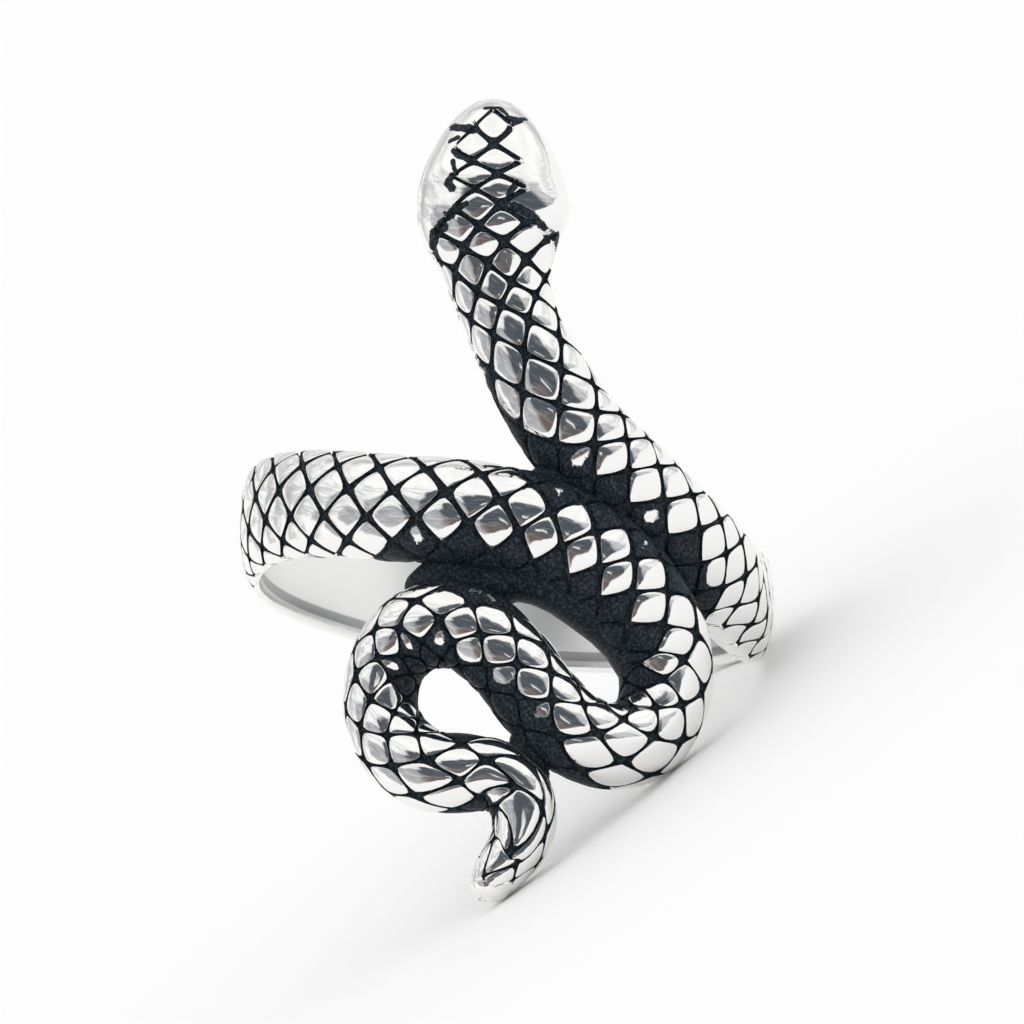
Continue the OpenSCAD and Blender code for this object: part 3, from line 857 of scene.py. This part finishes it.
class SNAKERING_OT_studio(bpy.types.Operator):
    """Set the pale floor, the soft light all round and the camera"""

    bl_idname = "snake_ring.studio"
    bl_label = "Floor, light and camera"

    def execute(self, context):
        turn = settle(context)
        tilt = np.radians(VIEW_DOWN)
        back = turn @ Vector((0, -np.cos(tilt), -np.sin(tilt)))
        up = turn @ Vector((0, -np.sin(tilt), np.cos(tilt)))
        right = up.cross(back)
        target = (right * PICTURE_RIGHT + up * PICTURE_UP) * MM
        camera = bpy.data.cameras.new("camera")
        camera.lens = LENS
        camera.clip_start = 0.01
        camera.clip_end = 20
        holder = bpy.data.objects.new("camera", camera)
        place = Matrix((right, up, back)).transposed().to_4x4()
        place.translation = target + back * (PICTURE_WIDTH * LENS / camera.sensor_width)
        holder.matrix_world = place
        context.collection.objects.link(holder)
        context.scene.camera = holder
        context.scene.view_settings.view_transform = "Standard"

        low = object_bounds()[0][2]
        bpy.ops.object.select_all(action="DESELECT")
        bpy.ops.mesh.primitive_plane_add(size=FLOOR_SIZE, location=(0, 0, low))
        floor = context.object
        bpy.ops.object.transform_apply(location=True)
        floor.name = floor.data.name = "floor"
        pale = bpy.data.materials.new("pale_floor")
        pale.use_nodes = True
        shader = pale.node_tree.nodes["Principled BSDF"].inputs
        shader["Base Color"].default_value = (0.93, 0.93, 0.93, 1)
        shader["Roughness"].default_value = 0.9
        shader["Specular IOR Level"].default_value = 0.0
        floor.data.materials.append(pale)
        floor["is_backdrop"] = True
        self.surround(context, right, up, back)
        return {"FINISHED"}

    def surround(self, context, right, up, back):
        """A pale room for the scales to mirror: white below, streaked grey above, dark in front."""
        world = bpy.data.worlds.new("studio")
        context.scene.world = world
        world.use_nodes = True
        t = world.node_tree
        t.nodes.clear()
        ray = node(t, "ShaderNodeTexCoord").outputs["Generated"]
        x, y, z = (vector(t, "DOT_PRODUCT", ray, tuple(axis))["Value"] for axis in (right, up, back))
        # degrees to the right of the camera, above it, and away from it all round
        ax = times(t, calc(t, "ARCTAN2", x, z), TO_DEGREES)
        ay = times(t, calc(t, "ARCSINE", y), TO_DEGREES)
        away = times(t, calc(t, "ARCCOSINE", z), TO_DEGREES)
        wave = noise(t, ray, 4.0, 3.0)
        flat = node(t, "ShaderNodeCombineXYZ",
                    {"X": times(t, x, 1.3), "Y": times(t, y, 9.0), "Z": times(t, z, 1.3)})
        streak = noise(t, flat.outputs[0], 1.6, 4.0)

        def span(value, middle, half):
            share = calc(t, "DIVIDE", minus(t, value, middle), half)
            return calc(t, "POWER", calc(t, "ABSOLUTE", share), 2.6)

        def oval(middle_x, half_x, middle_y, half_y):
            far = add(t, span(ax, middle_x, half_x), span(ay, middle_y, half_y))
            return below(t, add(t, far, swing(t, wave, 1.2)), 0.7, 1.25)

        def within(value, low, high):
            return below(t, calc(t, "ABSOLUTE", value), low, high)

        upper, lower = oval(*DARK_ABOVE), oval(*DARK_BELOW)
        veiled = calc(t, "MAXIMUM", oval(*GREY_LEFT), oval(*GREY_RIGHT))
        # a bright bar across the dark shape
        bar_y = add(t, minus(t, ay, BAR_UP), times(t, ax, BAR_SLOPE))
        bar = times(t, within(minus(t, ax, BAR_RIGHT), *BAR_LENGTH), within(bar_y, *BAR_WIDTH))
        front = minus(t, calc(t, "MAXIMUM", upper, lower), bar, clamp=True)
        dark = blend(t, step(t, minus(t, upper, lower), -0.5, 0.5),
                     blend(t, step(t, streak, 0.45, 0.7), *BROWN),
                     blend(t, step(t, streak, 0.5, 0.75), *SLATE))

        above = blend(t, step(t, streak, 0.40, 0.62), *WALL)
        above = blend(t, times(t, step(t, ay, *WALL_TOP), 0.75), above, CEILING)
        horizon = step(t, add(t, ay, times(t, wave, 8.0)), *HORIZON)
        room = blend(t, horizon, GROUND, above)
        ring = times(t, step(t, away, *RING_START), below(t, away, *RING_END))
        ring = times(t, ring, step(t, wave, 0.30, 0.60))
        room = blend(t, times(t, ring, 0.75), room, GREY_RING)
        room = blend(t, times(t, veiled, 0.85), room, blend(t, step(t, streak, 0.42, 0.66), *VEIL))
        seen = blend(t, front, room, dark)
        gloss = node(t, "ShaderNodeLightPath").outputs["Is Glossy Ray"]
        light = node(t, "ShaderNodeBackground",
                     {"Color": blend(t, gloss, SOFT_LIGHT, seen), "Strength": 1.0})
        out = node(t, "ShaderNodeOutputWorld")
        t.links.new(light.outputs["Background"], out.inputs["Surface"])


class SNAKERING_PT_panel(bpy.types.Panel):
    """Sizes, finish and the operators that build the ring"""

    bl_idname = "SNAKERING_PT_panel"
    bl_label = "Snake ring"
    bl_space_type = "VIEW_3D"
    bl_region_type = "UI"
    bl_category = "Snake ring"

    def draw(self, context):
        for group in (context.scene.snake_ring_sizes, context.scene.snake_ring_finish):
            for name in group.__annotations__:
                self.layout.prop(group, name)
        for operator in (SNAKERING_OT_body, SNAKERING_OT_links, SNAKERING_OT_studio):
            self.layout.operator(operator.bl_idname)


CLASSES = (SnakeRingSizes, SnakeRingFinish, SNAKERING_OT_body, SNAKERING_OT_links,
           SNAKERING_OT_studio, SNAKERING_PT_panel)


def register():
    for c in CLASSES:
        bpy.utils.register_class(c)
    bpy.types.Scene.snake_ring_sizes = bpy.props.PointerProperty(type=SnakeRingSizes)
    bpy.types.Scene.snake_ring_finish = bpy.props.PointerProperty(type=SnakeRingFinish)


def unregister():
    del bpy.types.Scene.snake_ring_finish
    del bpy.types.Scene.snake_ring_sizes
    for c in reversed(CLASSES):
        bpy.utils.unregister_class(c)


def main():
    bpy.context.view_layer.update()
    register()
    bpy.ops.snake_ring.body()
    bpy.ops.snake_ring.links()
    bpy.ops.snake_ring.studio()


if __name__ == "__main__":
    main()
